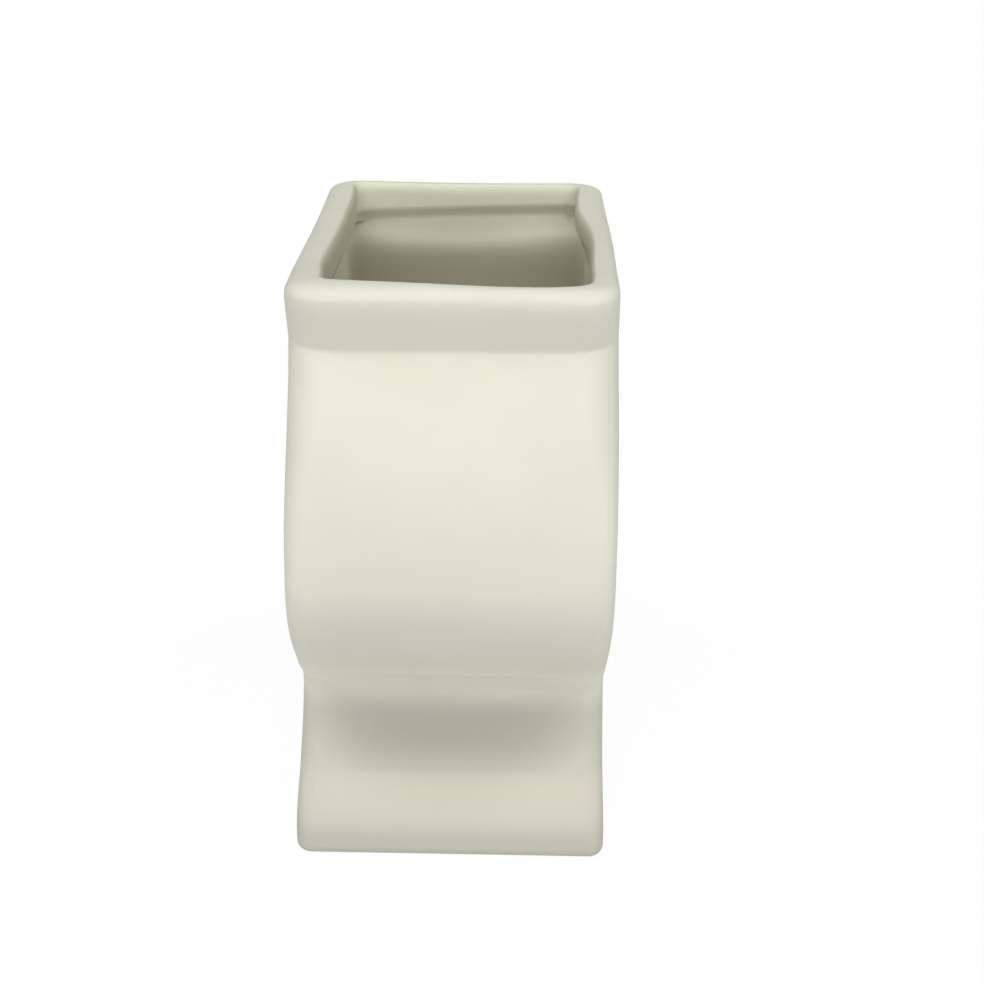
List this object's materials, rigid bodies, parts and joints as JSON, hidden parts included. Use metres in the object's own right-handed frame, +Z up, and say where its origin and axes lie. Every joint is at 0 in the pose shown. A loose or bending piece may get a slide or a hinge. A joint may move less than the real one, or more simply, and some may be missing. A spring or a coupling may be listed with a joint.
{
  "type": "pedestal vase",
  "caption": "Flat-sided pedestal vase in matte ivory ceramic: an urn silhouette of even width with a thick-lipped oblong mouth, full belly, narrow waist and spreading foot.",
  "frame": {"origin": "middle of the flat base, on the surface that the vase stands on", "axes": "+Z up through the mouth, Y along the mouth's long side (the narrow end that faces -Y is the one pictured), X across the two flat faces"},
  "size_m": [0.105, 0.2084, 0.2],
  "materials": {
    "matte_ceramic": "matte, unglazed, fine grained ivory body"
  },
  "bodies": {
    "root": {"rim_collar": "matte_ceramic", "right_face": "matte_ceramic", "left_face": "matte_ceramic", "rear_belly_wall": "matte_ceramic", "front_belly_wall": "matte_ceramic", "rear_foot_wall": "matte_ceramic", "front_foot_wall": "matte_ceramic", "base_floor": "matte_ceramic"}
  },
  "joints": []
}
